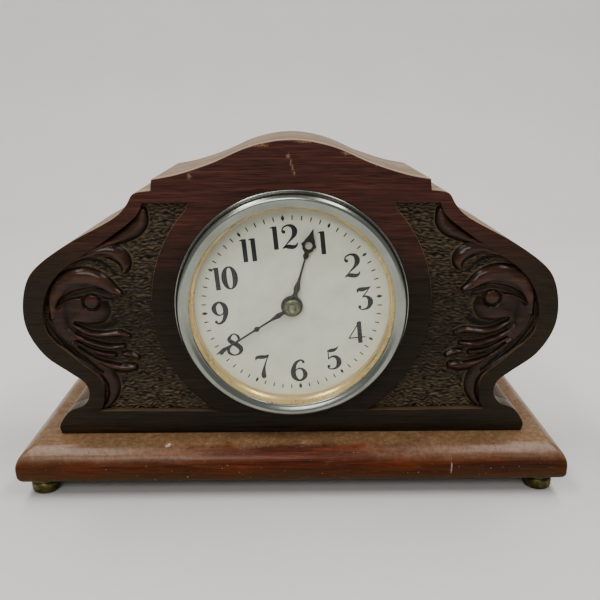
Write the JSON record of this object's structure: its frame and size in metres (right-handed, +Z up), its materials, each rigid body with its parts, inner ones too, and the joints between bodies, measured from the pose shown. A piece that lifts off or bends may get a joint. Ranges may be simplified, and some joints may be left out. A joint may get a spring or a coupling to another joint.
{
  "type": "mantel clock",
  "caption": "Mantel clock in a carved dark wood case on a moulded base with brass bun feet, with a round dial under convex glass and a back-wound drum movement.",
  "frame": {"origin": "centre of the base on the floor it stands on", "axes": "+Z up, the dial faces -Y, +X to the viewer's right"},
  "size_m": [0.259, 0.104, 0.1643],
  "materials": {
    "mahogany_base": "worn gloss varnish on mahogany, dusty on top",
    "mahogany_front": "dark glossy varnish on carved mahogany",
    "mahogany_case": "dark satin varnish on mahogany",
    "brass_feet": "tarnished turned brass",
    "nickel": "polished nickel plate",
    "gilt": "gilt, fine satin",
    "glass": "clear convex glass",
    "dial_cream": "matt cream with black printed numbers",
    "blued_steel": "blued steel",
    "steel": "bright steel",
    "brass_case": "lacquered brass",
    "brass_movement": "brushed brass"
  },
  "bodies": {
    "case": {"base_plinth": "mahogany_base", "foot_front_left": "brass_feet", "foot_front_right": "brass_feet", "foot_rear_left": "brass_feet", "foot_rear_right": "brass_feet", "case_body": "mahogany_case", "case_screw_left": "steel", "case_screw_right": "steel", "front_board": "mahogany_front", "back_board": "mahogany_case", "back_board_screw_1": "brass_case", "back_board_screw_2": "brass_case", "back_board_screw_3": "brass_case", "back_board_screw_4": "brass_case", "bezel": "nickel", "sight_ring": "gilt", "glass": "glass", "dial": "dial_cream", "drum_can": "brass_case", "strap_left": "steel", "strap_right": "steel", "strap_screw_left": "brass_movement", "strap_screw_right": "brass_movement", "front_plate": "brass_movement", "back_plate": "brass_movement", "pillar_1": "brass_movement", "pillar_2": "brass_movement", "pillar_3": "brass_movement", "mainspring": "steel", "hairspring": "blued_steel", "balance_cock": "brass_movement", "door_hinge_leaf": "brass_case", "hinge_pin": "steel"},
    "hand_setting": {"centre_arbor": "steel", "setting_knob": "brass_movement", "cannon_pinion": "steel", "minute_hand": "blued_steel"},
    "centre_drive": {"centre_pinion": "steel", "centre_wheel": "brass_movement"},
    "great_drive": {"great_wheel": "brass_movement"},
    "click_lever": {"click": "steel"},
    "winding": {"winding_arbor": "steel", "ratchet_wheel": "steel", "winding_key": "brass_movement"},
    "third_drive": {"third_arbor": "steel", "third_wheel": "brass_movement"},
    "fourth_drive": {"fourth_arbor": "steel", "fourth_wheel": "brass_movement"},
    "escape_drive": {"escape_arbor": "steel", "escape_wheel": "brass_movement"},
    "fork": {"pallet_fork": "steel"},
    "balance": {"balance_staff": "steel", "balance_wheel": "brass_movement"},
    "regulator": {"regulator_lever": "steel"},
    "minute_drive": {"minute_wheel": "brass_movement"},
    "hour_drive": {"hour_wheel": "brass_movement", "hour_hand": "blued_steel"},
    "door": {"back_door": "brass_case", "door_knob": "brass_case"}
  },
  "joints": [
    {"name": "hand_setting_turn", "type": "hinge", "parent": "case", "child": "hand_setting", "pos_m": [0, 0, 0.0892], "axis": [0, 1, 0], "continuous": true},
    {"name": "centre_wheel_turn", "type": "hinge", "parent": "case", "child": "centre_drive", "pos_m": [0, 0, 0.0892], "axis": [0, 1, 0], "continuous": true},
    {"name": "great_wheel_turn", "type": "hinge", "parent": "case", "child": "great_drive", "pos_m": [0, 0, 0.0694], "axis": [0, 1, 0], "continuous": true},
    {"name": "third_wheel_turn", "type": "hinge", "parent": "case", "child": "third_drive", "pos_m": [-0.01597, 0, 0.09501], "axis": [0, 1, 0], "continuous": true},
    {"name": "fourth_wheel_turn", "type": "hinge", "parent": "case", "child": "fourth_drive", "pos_m": [-0.00556, 0, 0.10742], "axis": [0, 1, 0], "continuous": true},
    {"name": "escape_wheel_turn", "type": "hinge", "parent": "case", "child": "escape_drive", "pos_m": [0.00759, 0, 0.10627], "axis": [0, 1, 0], "continuous": true},
    {"name": "minute_wheel_turn", "type": "hinge", "parent": "case", "child": "minute_drive", "pos_m": [0.0048, 0, 0.08089], "axis": [0, 1, 0], "continuous": true},
    {"name": "hour_wheel_turn", "type": "hinge", "parent": "case", "child": "hour_drive", "pos_m": [0, 0, 0.0892], "axis": [0, 1, 0], "continuous": true},
    {"name": "winding_key_turn", "type": "hinge", "parent": "great_drive", "child": "winding", "pos_m": [0, 0, 0.0694], "axis": [0, 1, 0], "continuous": true},
    {"name": "click_lift", "type": "hinge", "parent": "great_drive", "child": "click_lever", "pos_m": [-0.0096, 0, 0.079], "axis": [0, -1, 0], "range_deg": [0, 8]},
    {"name": "pallet_fork_swing", "type": "hinge", "parent": "case", "child": "fork", "pos_m": [0.01665, 0, 0.10205], "axis": [0, 1, 0], "range_deg": [-4, 4]},
    {"name": "balance_swing", "type": "hinge", "parent": "case", "child": "balance", "pos_m": [0.02571, 0, 0.09782], "axis": [0, 1, 0], "range_deg": [-170, 170]},
    {"name": "regulator_turn", "type": "hinge", "parent": "case", "child": "regulator", "pos_m": [0.02571, 0, 0.09782], "axis": [0, 1, 0], "range_deg": [-20, 20]},
    {"name": "back_door_swing", "type": "hinge", "parent": "case", "child": "door", "pos_m": [-0.042, 0.0465, 0.0892], "axis": [0, 0, 1], "range_deg": [0, 110]}
  ],
  "couplings": [
    {"joint": "centre_wheel_turn", "follows": "hand_setting_turn", "ratio": 1},
    {"joint": "great_wheel_turn", "follows": "hand_setting_turn", "ratio": -0.125},
    {"joint": "third_wheel_turn", "follows": "hand_setting_turn", "ratio": -7.5},
    {"joint": "fourth_wheel_turn", "follows": "hand_setting_turn", "ratio": 60},
    {"joint": "escape_wheel_turn", "follows": "hand_setting_turn", "ratio": -600},
    {"joint": "minute_wheel_turn", "follows": "hand_setting_turn", "ratio": -0.33333},
    {"joint": "hour_wheel_turn", "follows": "hand_setting_turn", "ratio": 0.083333}
  ]
}
